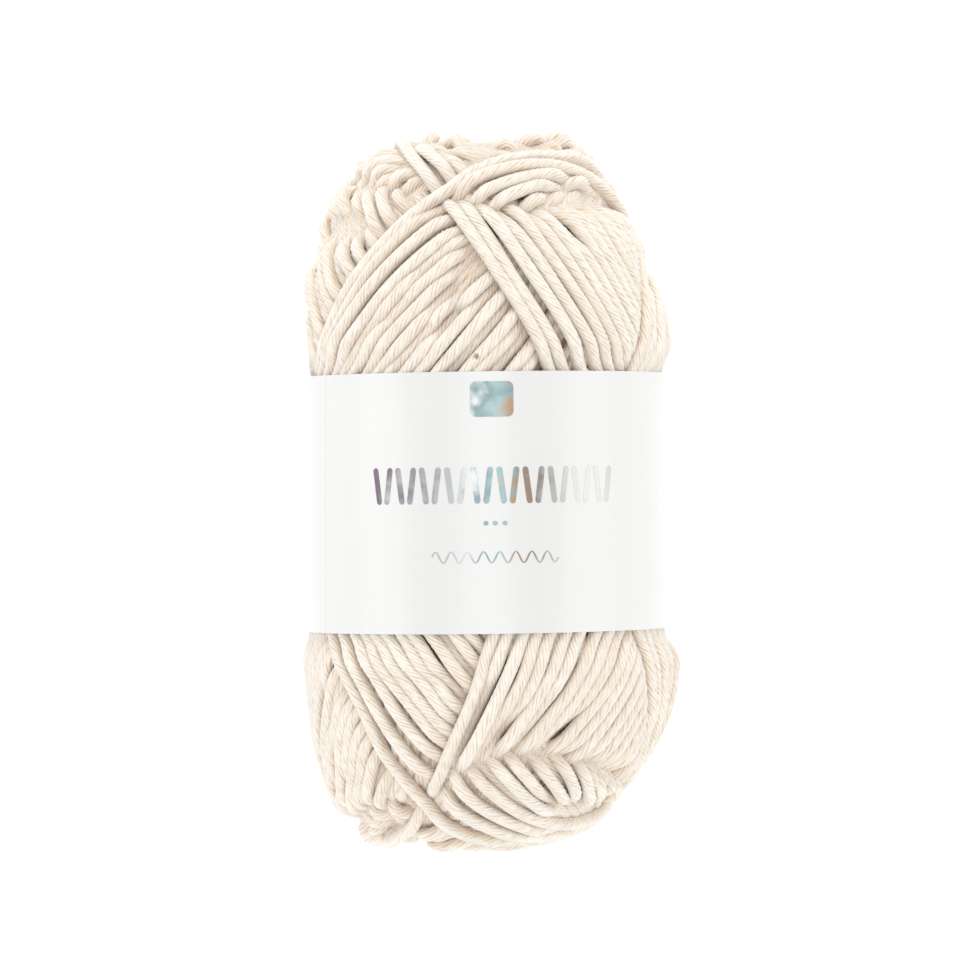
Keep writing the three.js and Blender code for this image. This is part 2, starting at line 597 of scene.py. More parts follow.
@dataclass
class BallForm:
    """The outer form of the wound ball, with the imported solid's own measures.

    Attributes:
        axis_height: Height of the ball's axis over the floor.
        squareness: The exponent of each end's outline.
        lean_mm: Rows of a place along the axis and the form's lean towards +X there.
        lean_from: Distance past the band's edge from which yarn takes up the lean.
        lean_full: Distance past it from which yarn has all of it.
        squeeze: How far the band presses the yarn in.
        belt_room: Halves of a strand kept between its middle and the band.
        shoulder: Distance past the band over which the yarn swells out.
        flat_spare: How far the form may pass the floor before it's pressed in.
        flat_most: The most that it's pressed in there.
        lap_depth: How far a lap's newest turns stand over its oldest.
        lap_edge: Share of a lap over which its newest edge rises.
        lap_start: Radius within which no lap stands out.
        lap_full: Radius from which laps stand out in full.
    """

    radius: float = 27.3 * MM
    axis_height: float = 24.6 * MM
    squareness: tuple = ((End.UPPER, 2.9), (End.LOWER, 3.5))
    lean_mm: tuple = ((-51, -5.0), (-46, -1.2), (-38, -0.1), (-20, 1.0), (16, 0.3), (32, -0.7),
                      (46, -0.9), (51, 1.2))
    lean_from: float = -2 * MM
    lean_full: float = 11 * MM
    band_width: float = 35.5 * MM
    band_radius: float = 25.2 * MM
    band_roll: float = math.radians(0.7)
    paper: float = 0.22 * MM
    squeeze: float = 0.7 * MM
    belt_room: float = 1.15
    shoulder: float = 4.5 * MM
    flat_spare: float = 1.0 * MM
    flat_most: float = 4.0 * MM
    lap_depth: float = 1.25 * MM
    lap_edge: float = 0.08
    lap_start: float = 7 * MM
    lap_full: float = 12 * MM
    middle: Vector = field(init=False)
    outlines: dict = field(init=False)
    laps: dict = field(init=False)
    turned: dict = field(init=False)

    def __post_init__(self) -> None:
        """Reads the band's place, and measures the ends and their laps' newest turns."""
        low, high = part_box(BAND_NODE)
        self.middle = (low + high) / 2
        self.outlines = {end: Outline(value, radius=self.radius) for end, value in self.squareness}
        self.laps = {End.UPPER: UPPER_LAPS, End.LOWER: LOWER_LAPS}
        self.turned = {
            end: [self.outlines[end].turned(*lap.at(0)[1:]) for lap in laps]
            for end, laps in self.laps.items()
        }

    def lean_at(self, along: np.ndarray) -> np.ndarray:
        """Sideways lean of the form, eased from row to row.

        Args:
            along: Places along Y.

        Returns:
            The leans.
        """
        rows = np.array(self.lean_mm) * MM
        index = np.clip(np.searchsorted(rows[:, 0], along), 1, len(rows) - 1)
        low, high = rows[index - 1], rows[index]
        share = smoothstep(0.0, 1.0, (along - low[:, 0]) / (high[:, 0] - low[:, 0]))
        return blend(low[:, 1], high[:, 1], share)

    def lap_drop(self, end: End, distance: np.ndarray, azimuth: np.ndarray) -> np.ndarray:
        """How far the laps of yarn stand below the outer form.

        Args:
            end: The end of the ball.
            distance: Distances along its outline.
            azimuth: Azimuths.

        Returns:
            Depths.
        """
        outline = self.outlines[end]
        height = np.zeros(distance.shape)
        for side in (-1, 1):
            newest = [
                lap.at(0)[0] + side * np.interp(distance, outline.distances, turned)
                for lap, turned in zip(self.laps[end], self.turned[end])
            ]
            height += self._lap_share(np.degrees(azimuth), newest)
        radius = outline.radius_at(distance)
        inside = smoothstep(self.lap_start, self.lap_full, radius)
        return self.lap_depth * inside * (2 - height) * radius / self.radius

    def _lap_share(self, azimuth: np.ndarray, newest: list) -> np.ndarray:
        """Share of a lap's depth left: 1 by its newest turn, 0 at its oldest.

        Args:
            azimuth: Azimuths of the places, in degrees.
            newest: For each lap, its newest turn's azimuths beside them.

        Returns:
            The shares.
        """
        share = np.zeros_like(azimuth)
        for start, following in zip(newest, newest[1:] + newest[:1]):
            age = (azimuth - start) % 360 / ((following - start) % 360)
            rise = smoothstep(0.0, self.lap_edge, age) * (1.0 - age)
            share = np.where(age < 1.0, rise, share)
        return share

    def lay(self, end: End, distance: np.ndarray, azimuth: np.ndarray,
            height: np.ndarray, half: float) -> np.ndarray:
        """Puts points of the winding in space, held by the band and the floor.

        Args:
            end: The end of the ball.
            distance: Distances along its outline.
            azimuth: Azimuths.
            height: Heights over the outer form, negative inside it.
            half: Half a strand, kept clear of the band and the floor.

        Returns:
            Rows of x, y, z.
        """
        outline = self.outlines[end]
        tilt = outline.tilt_at(distance)
        form = outline.radius_at(distance)
        radius = form + height * np.cos(tilt)
        along = end.value * (outline.along_at(distance) + height * np.sin(tilt))
        past = np.abs(along - self.middle.y) - self.band_width / 2
        free = smoothstep(0.0, self.shoulder, past)
        belt = self.band_radius - self.paper - self.belt_room * half
        radius = radius - self.squeeze * (1.0 - free)
        radius = blend(np.minimum(radius, belt), radius, free)
        allowed = self.axis_height / np.maximum(-np.cos(azimuth), 1e-3)
        radius = radius - np.clip(form - self.flat_spare - allowed, 0.0, self.flat_most)
        rolled = (self.middle.y - along) * math.tan(self.band_roll) * (1.0 - free)
        leaning = self.lean_at(along) * smoothstep(self.lean_from, self.lean_full, past)
        across = leaning + rolled + radius * np.sin(azimuth)
        up = np.maximum(self.axis_height + radius * np.cos(azimuth), half)
        return np.stack([self.middle.x + across, along, up], axis=-1)

    def outward(self, end: End, distance: np.ndarray, azimuth: np.ndarray) -> np.ndarray:
        """Outward directions of the form.

        Args:
            end: The end of the ball.
            distance: Distances along its outline.
            azimuth: Azimuths.

        Returns:
            Rows of unit vectors.
        """
        tilt = self.outlines[end].tilt_at(distance)
        flat = np.cos(tilt)
        rows = [flat * np.sin(azimuth), end.value * np.sin(tilt), flat * np.cos(azimuth)]
        return np.stack(rows, axis=-1)


# ------------------------------------------------------------------------- the winding


@dataclass
class Turn:
    """One turn's arch over an end.

    Attributes:
        distance: Distances along the outline of points along it.
        azimuth: Their azimuths.
        height: How high its middle lies over the outer form.
        shown: Where it's bare enough to be laid on the pile.
        peeks: Where any of it shows.
        depth: How deep it's buried.
    """

    distance: np.ndarray
    azimuth: np.ndarray
    height: np.ndarray
    shown: np.ndarray
    peeks: np.ndarray
    depth: np.ndarray


@dataclass(frozen=True)
class LooseTurn:
    """A turn that has slipped and hangs a little off the side of the ball.

    Attributes:
        end: The end of the ball that it hangs on.
        rows: Its course: the distance along the outline in millimetres, the azimuth in
            degrees, and the height over the outer form in millimetres.
        bend: The length over which its height is smoothed, to each side.
    """

    end: End
    rows: tuple
    bend: float = 1.5 * MM

    def turn(self, step: float) -> Turn:
        """Lays the turn along its course.

        Args:
            step: Distance between its points.

        Returns:
            The turn.
        """
        table = np.array(self.rows, float)
        distance = np.arange(table[0, 0], table[-1, 0], step / MM)
        azimuth, height = (np.interp(distance, table[:, 0], column) for column in table[:, 1:].T)
        height = smoothed(height, 2 * int(self.bend / step) + 1)
        seen = np.ones(len(distance), bool)
        return Turn(distance * MM, np.radians(azimuth), height * MM, seen, seen,
                    np.zeros(len(distance)))


LOOSE = (
    LooseTurn(End.LOWER, (
        (14, 99, -1.5), (20, 98, -1.2), (22.5, 97, -0.5), (27, 96, -0.5), (31, 95, -0.6),
        (35, 95, -1.1), (39, 96, -2.0), (42, 97, -3.4))),
)


@dataclass
class PileGrid:
    """The underside of the yarn laid so far over one end, worked from the outside in."""

    form: BallForm
    end: End
    cell: float = 0.35 * MM
    margin: float = 3 * MM
    heights: np.ndarray = field(init=False)
    covered: np.ndarray = field(init=False)
    half: int = field(init=False)
    reach: float = field(init=False)

    def __post_init__(self) -> None:
        """Starts at the ball's surface, on a disc unrolled from the end's middle."""
        self.reach = self.form.outlines[self.end].reach
        self.half = int((self.reach + self.margin) / self.cell)
        grid = np.arange(-self.half, self.half + 1) * self.cell
        distance = self.reach - np.hypot(grid[:, None], grid[None, :])
        azimuth = np.arctan2(grid[None, :], grid[:, None])
        drop = self.form.lap_drop(self.end, distance.ravel(), azimuth.ravel())
        self.heights = -drop.reshape(distance.shape)
        self.covered = np.zeros(distance.shape, bool)

    def cells(self, distance: np.ndarray, azimuth: np.ndarray) -> tuple:
        """Finds the grid's cells at places.

        Args:
            distance: Distances along the outline.
            azimuth: Azimuths.

        Returns:
            Their rows and columns.
        """
        out = (self.reach - distance) / self.cell
        row = np.rint(self.half + out * np.cos(azimuth)).astype(int)
        column = np.rint(self.half + out * np.sin(azimuth)).astype(int)
        top = 2 * self.half
        return np.clip(row, 0, top), np.clip(column, 0, top)

    def underside(self, distance: np.ndarray, azimuth: np.ndarray) -> np.ndarray:
        """Heights of the underside at places."""
        return self.heights[self.cells(distance, azimuth)]

    def bare(self, distance: np.ndarray, azimuth: np.ndarray) -> np.ndarray:
        """Whether nothing covers each place yet."""
        return ~self.covered[self.cells(distance, azimuth)]

    def lower_to(self, distance: np.ndarray, azimuth: np.ndarray, height: np.ndarray) -> None:
        """Brings the underside down where it is higher.

        Args:
            distance: Distances along the outline.
            azimuth: Azimuths.
            height: Heights there.
        """
        cells = self.cells(distance, azimuth)
        np.minimum.at(self.heights, cells, height)
        self.covered[cells] = True


@dataclass
class Winder:
    """Winds one end of the ball, turn on turn, and finds what shows.

    Each turn arches over the end clear of the hollow and runs down as a straight line
    would on the unrolled form. The newest turn lies on the surface, and an older one
    dips under the newer ones that it crosses.

    Attributes:
        older: Cycles laid before the laps began.
        narrowing: How much nearer the axis those arch for each lap, in millimetres.
        azimuth_spread: How far an arch strays round the ball, in degrees.
        reach_spread: How far it strays from the axis, in millimetres.
        waves: Lengths over which a turn sways.
        bearing: Share of the half width that a turn lies on, and the places taken there.
        cover: The same for the width that it hides.
        least_bare: Share of it that must be bare to be laid, far down and by the end.
        crowded: Distances along the outline between those two shares.
    """

    form: BallForm
    end: End
    seed: int
    older: int = 40
    narrowing: float = 8.0
    azimuth_spread: float = 0.3
    reach_spread: float = 0.15
    least_reach: float = 2.5
    step: float = 0.15 * MM
    under_band: float = 5.0 * MM
    waves: tuple = (34 * MM, 17 * MM)
    sway: float = 0.12 * MM
    bearing: tuple = (0.35, 5)
    cover: tuple = (0.98, 15)
    sink: float = 0.28 * MM
    deepest: float = 1.9 * MM
    pull: float = 1.3 * MM
    least_bare: tuple = (0.56, 0.78)
    crowded: tuple = (30 * MM, 48 * MM)
    least_peek: float = 0.12
    slide: float = 12 * MM
    bridge: float = 4.5 * MM
    shortest: float = 1.0 * MM
    pile: PileGrid = field(init=False)
    outline: Outline = field(init=False)

    def wind(self) -> list:
        """Lays every turn, from the newest to the oldest.

        Returns:
            The turns, newest first, each with its height and what shows of it.
        """
        self.pile = PileGrid(self.form, self.end)
        self.outline = self.form.outlines[self.end]
        draws = np.random.default_rng(self.seed)
        turns = []
        for cycle in range(CYCLES + self.older):
            for index in (2, 1, 0):
                distance, azimuth = self._route(*self._arch(cycle, index, draws), draws)
                turns.append(self._tuck(distance, azimuth))
        return turns

    def _arch(self, cycle: int, index: int, draws: np.random.Generator) -> tuple:
        """Azimuth, reach and turning of one turn's arch.

        Args:
            cycle: How many turns of this lap were laid after it.
            index: The lap.
            draws: The seeded source of small differences.

        Returns:
            The azimuth in radians, the reach in metres and the turning.
        """
        around, age = divmod(cycle, CYCLES)
        laps = self.form.laps[self.end]
        lap = laps[(index + around) % len(laps)]
        azimuth, reach, turning = lap.at(age)
        azimuth += draws.normal(0.0, self.azimuth_spread)
        reach += draws.normal(0.0, self.reach_spread)
        reach -= self.narrowing * max(0.0, cycle / CYCLES - 1.0)
        return math.radians(azimuth), max(reach, self.least_reach) * MM, turning

    def _route(self, arch: float, reach: float, turning: float,
               draws: np.random.Generator) -> tuple:
        """Follows one turn from under the band, over the end and back under the band.

        Args:
            arch: Azimuth of the arch.
            reach: The arch's distance from the axis.
            turning: How fast it turns round the ball against a taut line.
            draws: The seeded source of small differences.

        Returns:
            Distances along the outline, and azimuths.
        """
        outline = self.outline
        slope = np.gradient(outline.radii, outline.distances)
        start = np.interp(-reach, -outline.radii, outline.distances)
        last = np.interp(
            self.form.band_width / 2 - self.under_band + self.end.value * self.form.middle.y,
            outline.alongs, outline.distances)
        distance, speed, turned = start, 0.0, 0.0
        places, angles = [start], [0.0]
        while distance > last:
            radius = self._look(outline.radii, distance)
            speed += reach**2 * self._look(slope, distance) / radius**3 * self.step
            distance += speed * self.step
            turned += reach / radius**2 * self.step
            places.append(distance)
            angles.append(turned)
        places = np.array(places)
        angles = np.array(angles) * turning
        distance = np.concatenate([places[:0:-1], places])
        azimuth = arch + np.concatenate([-angles[:0:-1], angles])
        length = np.arange(len(distance)) * self.step
        sway = np.zeros(len(distance))
        for wave in self.waves:
            phase = draws.uniform(0.0, 2 * math.pi)
            sway += draws.normal(0.0, self.sway) * np.sin(2 * math.pi * length / wave + phase)
        azimuth += sway / outline.radius_at(distance)
        return distance, azimuth

    def _look(self, column: np.ndarray, distance: float) -> float:
        """Reads an evenly spaced column of the outline's table.

        Args:
            column: The column.
            distance: The distance along the outline.

        Returns:
            Its value there.
        """
        index = distance / self.outline.distances[1]
        low = min(int(index), self.outline.samples - 2)
        return column[low] + (column[low + 1] - column[low]) * (index - low)

    def _across(self, distance: np.ndarray, azimuth: np.ndarray, aside: np.ndarray) -> tuple:
        """Places beside a route.

        Args:
            distance: The route's distances along the outline.
            azimuth: The route's azimuths.
            aside: How far to the side, one value for each line of places.

        Returns:
            Distances and azimuths, a row for each value of aside.
        """
        radius = self.outline.radius_at(distance)
        run = np.gradient(distance)
        turn = np.gradient(azimuth) * radius
        size = np.hypot(run, turn)
        beside = distance - aside[:, None] * turn / size
        around = azimuth + aside[:, None] * run / size / radius
        return beside, around

    @staticmethod
    def _section(share: float, count: int) -> tuple:
        """Places across a strand, and how far its underside is below its middle there.

        Args:
            share: Share of the strand's width that they cover.
            count: How many they are.

        Returns:
            The places and the depths.
        """
        half = STRAND / 2
        aside = np.linspace(-share, share, count) * half
        return aside, np.sqrt(half**2 - aside**2)[:, None]

    def _tuck(self, distance: np.ndarray, azimuth: np.ndarray) -> Turn:
        """Tucks a turn under the newer ones and adds it to the pile.

        Args:
            distance: The route's distances along the outline.
            azimuth: The route's azimuths.

        Returns:
            The turn.
        """
        aside, curve = self._section(*self.bearing)
        above = self.pile.underside(*self._across(distance, azimuth, aside))
        surface = -self.form.lap_drop(self.end, distance, azimuth)
        height = (above - curve).min(axis=0) + self.sink
        height = self._taut(np.maximum(height, surface - STRAND / 2 - self.deepest))
        depth = np.clip(surface - height - STRAND / 2, 0.0, None)
        aside, curve = self._section(*self.cover)
        beside, around = self._across(distance, azimuth, aside)
        bare = self.pile.bare(beside, around).mean(axis=0)
        least = blend(*self.least_bare, smoothstep(*self.crowded, distance))
        shown = self._steady(bare > least)
        near = np.convolve(shown, np.ones(2 * int(self.slide / self.step) + 1), mode="same")
        peeks = self._steady(shown | ((bare > self.least_peek) & (near > 0)))
        self.pile.lower_to(beside[:, shown], around[:, shown], (height - curve)[:, shown])
        return Turn(distance, azimuth, height, shown, peeks, depth)

    def _steady(self, seen: np.ndarray) -> np.ndarray:
        """Bridges short hidden lengths of a turn, then drops its short shown ones."""
        seen = self._fill(seen, self.bridge)
        return ~self._fill(~seen, self.shortest)

    def _fill(self, mask: np.ndarray, longest: float) -> np.ndarray:
        """Fills the short gaps in a mask that don't reach its ends.

        Args:
            mask: The mask.
            longest: The length that a gap is shorter than.

        Returns:
            The filled mask.
        """
        filled = mask.copy()
        edges = np.flatnonzero(np.diff(np.concatenate([[1], mask.astype(int), [1]])))
        for first, last in zip(edges[::2], edges[1::2]):
            if first > 0 and last < len(mask) and (last - first) * self.step < longest:
                filled[first:last] = True
        return filled

    def _taut(self, height: np.ndarray) -> np.ndarray:
        """Draws a strand evenly down under what crosses it, as its pull does.

        Args:
            height: The heights that what crosses it allows.

        Returns:
            The strand's heights.
        """
        reach = int(self.pull / self.step)
        window = np.lib.stride_tricks.sliding_window_view
        wide = np.pad(height, reach, mode="edge")
        lowered = window(wide, 2 * reach + 1).min(axis=1)
        kernel = np.hanning(4 * reach + 3)
        wide = np.pad(lowered, 2 * reach + 1, mode="edge")
        return np.convolve(wide, kernel / kernel.sum(), mode="valid")


# ------------------------------------------------------------------------- mesh tools


def add_mesh(name: str, points: np.ndarray, faces: list) -> bpy.types.Object:
    """Makes a mesh and puts it in the scene.

    Args:
        name: The name of the mesh and of its object.
        points: Rows of x, y, z.
        faces: Lists of point numbers.

    Returns:
        The object.
    """
    mesh = bpy.data.meshes.new(name)
    mesh.from_pydata(points, [], faces)
    item = bpy.data.objects.new(name, mesh)
    bpy.context.scene.collection.objects.link(item)
    return item


def added(name: str) -> tuple:
    """Names the mesh object that an operator has just added.

    Args:
        name: The name of the mesh and of its object.

    Returns:
        The object, and rows of x, y, z of its points.
    """
    item = bpy.context.object
    item.name = name
    item.data.name = name
    place = np.zeros(len(item.data.vertices) * 3)
    item.data.vertices.foreach_get("co", place)
    return item, place.reshape(-1, 3)


def edit_whole(item: bpy.types.Object, operator: Callable, **options: object) -> None:
    """Runs an edit-mode operator on all of a mesh.

    Args:
        item: The mesh object.
        operator: The operator.
        options: Its options.
    """
    bpy.ops.object.select_all(action="DESELECT")
    item.select_set(True)
    bpy.context.view_layer.objects.active = item
    bpy.ops.object.mode_set(mode="EDIT")
    bpy.ops.mesh.select_all(action="SELECT")
    operator(**options)
    bpy.ops.object.mode_set(mode="OBJECT")


def thicken(item: bpy.types.Object, thickness: float, even: bool = False) -> None:
    """Makes a solid of a sheet, with half of its thickness to each side.

    Args:
        item: The sheet, the active object.
        thickness: Its thickness.
        even: Whether corners keep the thickness too.
    """
    solid = item.modifiers.new("thickness", "SOLIDIFY")
    solid.thickness = thickness
    solid.offset = 0.0
    solid.use_even_offset = even
    bpy.ops.object.modifier_apply(modifier=solid.name)


# ----------------------------------------------------------------------------- strands


@dataclass
class StrandMesher:
    """Turns the shown lengths of wound yarn into plied strands of mesh.

    Attributes:
        groove: Depth of the grooves between plies, as a share of the strand's half.
        swell: How much the plies stand out past it, as a share.
        rise: How high the section is against that.
        width: How wide it is against that.
        lead: Length of one twist.
        lead_spread: How far twists differ, as a share.
        waver: How unevenly they run, in radians.
        unevenness: The length over which that comes back.
        spare: Length that a strand runs on under what hides it.
        dive: How steeply it dips there.
        facing: Cosines from the top between which a strand counts as lit.
        shade_depth: Depth over which buried yarn darkens in the painted shade.
        limit: Most triangles in the sides of one piece's strands.
    """

    form: BallForm
    end: End
    plies: int = 10
    groove: float = 0.16
    swell: float = 0.04
    rise: float = 1.06
    width: float = 0.99
    end_taper: float = 0.55
    lead: float = 10.6 * MM
    lead_spread: float = 0.05
    waver: float = 0.3
    unevenness: float = 9 * MM
    ring_gap: float = 0.7 * MM
    fewest_rings: int = 4
    spare: float = 3.4 * MM
    dive: float = 130.0
    off_floor: float = 0.02 * MM
    tone_spread: float = 0.5
    facing: tuple = (-0.5, 0.8)
    shade_depth: float = 2.5 * MM
    limit: int = 190000
    batches: list = field(default_factory=list)
    triangles: int = 0
    length: float = 0.0

    def add(self, turn: Turn, step: float, draws: np.random.Generator) -> None:
        """Adds each shown length of a turn.

        Args:
            turn: The turn.
            step: Distance between its points.
            draws: The seeded source of small differences.
        """
        grow = int(self.spare / step)
        edges = np.flatnonzero(np.diff(np.concatenate([[0], turn.peeks.astype(int), [0]])))
        phase = draws.uniform(0.0, 2 * math.pi)
        tone = draws.normal(0.0, self.tone_spread)
        stride = max(1, int(round(self.ring_gap / step)))
        for first, last in zip(edges[::2], edges[1::2]):
            start, stop = max(first - grow, 0), min(last + grow, len(turn.shown))
            pick = np.arange(start, stop, stride)
            if len(pick) < self.fewest_rings or not turn.shown[first:last].any():
                continue
            past = np.maximum(np.maximum(first - pick, pick - last), 0) * step
            self._tube(turn, pick, self.dive * past**2, phase, tone, step)

    def _tube(self, turn: Turn, pick: np.ndarray, sunk: np.ndarray, phase: float,
              tone: float, step: float) -> None:
        """Adds one length of strand.

        Args:
            turn: The turn it belongs to.
            pick: Which of the turn's points carry a ring.
            sunk: How far each ring lies below the turn's own height.
            phase: Where the twist starts.
            tone: How pale the strand is.
            step: Distance between the turn's points.
        """
        half = STRAND / 2
        route = self.end, turn.distance[pick], turn.azimuth[pick]
        centre = self.form.lay(*route, turn.height[pick] - sunk, half)
        out = self.form.outward(*route)
        ahead = unit(np.gradient(centre, axis=0))
        side = unit(np.cross(ahead, out))
        out = np.cross(side, ahead)
        columns = 2 * self.plies
        around = np.arange(columns) / columns * 2 * math.pi
        top = np.where(np.arange(columns) % 2 == 0, 0.0, 1.0)
        radius = half * (1.0 - self.groove * (1.0 - top)) * (1.0 + self.swell)
        along = pick * step
        spin = phase - 2 * math.pi * along / (self.lead * (1.0 + self.lead_spread * tone))
        spin += self.waver * np.sin(2 * math.pi * along / self.unevenness + phase)
        angle = around[None, :] + spin[:, None]
        taper = np.ones(len(pick))
        taper[[0, -1]] = self.end_taper
        lift = np.cos(angle) * self.rise * radius * taper[:, None]
        wide = np.sin(angle) * self.width * radius * taper[:, None]
        points = centre[:, None] + out[:, None] * lift[..., None] + side[:, None] * wide[..., None]
        points[..., 2] = np.maximum(points[..., 2], self.off_floor)
        # Painted shade: the lit share falls with depth in the pile and on a strand's sides turned from
        # the top.
        bare = np.exp(-(turn.depth[pick] + sunk) / self.shade_depth)
        self.batches.append(
            {
                "points": points,
                "ply_top": np.broadcast_to(top, points.shape[:2]),
                "on_top": smoothstep(*self.facing, np.cos(angle)) * bare[:, None],
                "tone": np.full(points.shape[:2], tone),
                "along": along,
                "across": np.arange(columns + 1) / columns * math.pi * STRAND,
            }
        )
        self.triangles += (len(pick) - 1) * columns * 2 + 2 * (columns - 2)
        self.length += (len(pick) - 1) * self.ring_gap

    def objects(self, name: str) -> list:
        """Joins the strands into as few pieces as their limit of faces allows.

        Args:
            name: What the pieces' names start with.

        Returns:
            The new objects.
        """
        groups = [[]]
        count = 0
        for batch in self.batches:
            size = 2 * batch["tone"].size
            if groups[-1] and count + size > self.limit:
                groups.append([])
                count = 0
            groups[-1].append(batch)
            count += size
        return [self._object(f"{name}_{number}", group) for number, group in enumerate(groups, 1)]

    @staticmethod
    def _object(name: str, batches: list) -> bpy.types.Object:
        """Makes one mesh of many strands.

        Args:
            name: The object's name.
            batches: The strands' arrays.

        Returns:
            The object.
        """
        points, faces, places = [], [], []
        values = {"ply_top": [], "on_top": [], "tone": []}
        base = 0
        for batch in batches:
            rings, columns = batch["points"].shape[:2]
            points.append(batch["points"].reshape(-1, 3))
            for key, column in values.items():
                column.append(batch[key].reshape(-1))
            ring = np.arange(rings - 1)[:, None] * columns + base
            here = np.arange(columns)[None, :]
            there = (here + 1) % columns
            quads = np.stack([ring + here, ring + there, ring + columns + there,
                              ring + columns + here], axis=-1).reshape(-1, 4)
            faces.extend(quads.tolist())
            along = np.broadcast_to(batch["along"][:-1, None], (rings - 1, columns))
            after = np.broadcast_to(batch["along"][1:, None], (rings - 1, columns))
            left = np.broadcast_to(batch["across"][None, :-1], (rings - 1, columns))
            right = np.broadcast_to(batch["across"][None, 1:], (rings - 1, columns))
            corners = [(along, left), (along, right), (after, right), (after, left)]
            places.append(np.stack([np.stack(c, -1) for c in corners], 2).reshape(-1))
            first = [base + c for c in range(columns)]
            last = [base + (rings - 1) * columns + c for c in range(columns)]
            faces.append(first[::-1])
            faces.append(last)
            places.append(np.zeros(4 * columns))
            base += rings * columns
        item = add_mesh(name, np.concatenate(points), faces)
        mesh = item.data
        for key, column in values.items():
            attribute = mesh.attributes.new(key, "FLOAT", "POINT")
            attribute.data.foreach_set("value", np.concatenate(column).astype(np.float32))
        layer = mesh.uv_layers.new(name="strand")
        layer.data.foreach_set("uv", np.concatenate(places).astype(np.float32))
        mesh.polygons.foreach_set("use_smooth", np.ones(len(mesh.polygons), bool))
        mesh.update()
        return item


# ----------------------------------------------------------------------------- pieces


def attach(item: bpy.types.Object, material: bpy.types.Material,
           node: str) -> bpy.types.Object:
    """Dresses a piece and joins it to the frame.

    Args:
        item: The piece.
        material: Its material.
        node: The CAD node that it stands for, or "" where it stands for none.

    Returns:
        The piece.
    """
    item.data.materials.clear()
    item.data.materials.append(material)
    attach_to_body(item, BODY)
    if node:
        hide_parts(node)
    LOG.info("%s: %d faces", item.name, len(item.data.polygons))
    return item


@dataclass
class YarnBall:
    """The wound yarn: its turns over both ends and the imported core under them."""

    form: BallForm
    seeds: tuple = ((End.UPPER, 11), (End.LOWER, 23))
    core_columns: int = 96
    core_clear: float = 2.0 * MM
    core_depth: float = 2.5 * MM
    well_depth: float = 6.0 * MM
    well_radius: float = 3.5 * MM
    pieces: list = field(default_factory=list)
    core: bpy.types.Object = None

    def build(self) -> None:
        """Winds both ends and makes the core."""
        for end, seed in self.seeds:
            winder = Winder(self.form, end, seed)
            turns = winder.wind()
            mesher = StrandMesher(self.form, end)
            draws = np.random.default_rng(seed + 1)
            for turn in turns + [loose.turn(winder.step) for loose in LOOSE if loose.end == end]:
                mesher.add(turn, winder.step, draws)
            LOG.info("%s: %.2f m of strand, %d triangles", end.name, mesher.length,
                     mesher.triangles)
            self.pieces += mesher.objects(f"wound_yarn_{end.name.lower()}")
        self._build_core()

    def _build_core(self) -> None:
        """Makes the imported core, a sphere shaped to lie a few strands below the form."""
        bpy.ops.object.select_all(action="DESELECT")
        bpy.ops.mesh.primitive_uv_sphere_add(
            segments=self.core_columns, ring_count=self.core_columns, radius=1.0)
        self.core, place = added("packed_core")
        polar = np.arccos(np.clip(np.abs(place[:, 2]), 0.0, 1.0))
        azimuth = np.arctan2(place[:, 0], place[:, 1])
        shaped = np.zeros_like(place)
        for end in End:
            mask = place[:, 2] * end.value >= 0
            distance = self.form.outlines[end].reach * (1.0 - polar[mask] / (math.pi / 2))
            places = distance, azimuth[mask]
            well = np.exp(-((self.form.outlines[end].radius_at(distance) / self.well_radius) ** 2))
            height = -self.core_depth - self.form.lap_drop(end, *places) - self.well_depth * well
            shaped[mask] = self.form.lay(end, *places, height, self.core_clear)
        self.core.data.vertices.foreach_set("co", shaped.ravel())
        edit_whole(self.core, bpy.ops.mesh.normals_make_consistent, inside=False)
        bpy.ops.object.shade_smooth()

    def dress(self) -> None:
        """Gives every piece its finish and joins it to the frame."""
        cotton = CottonFinish().make()
        for piece in self.pieces:
            attach(piece, cotton, YARN_NODE)
        attach(self.core, CoreFinish().make(), YARN_NODE)


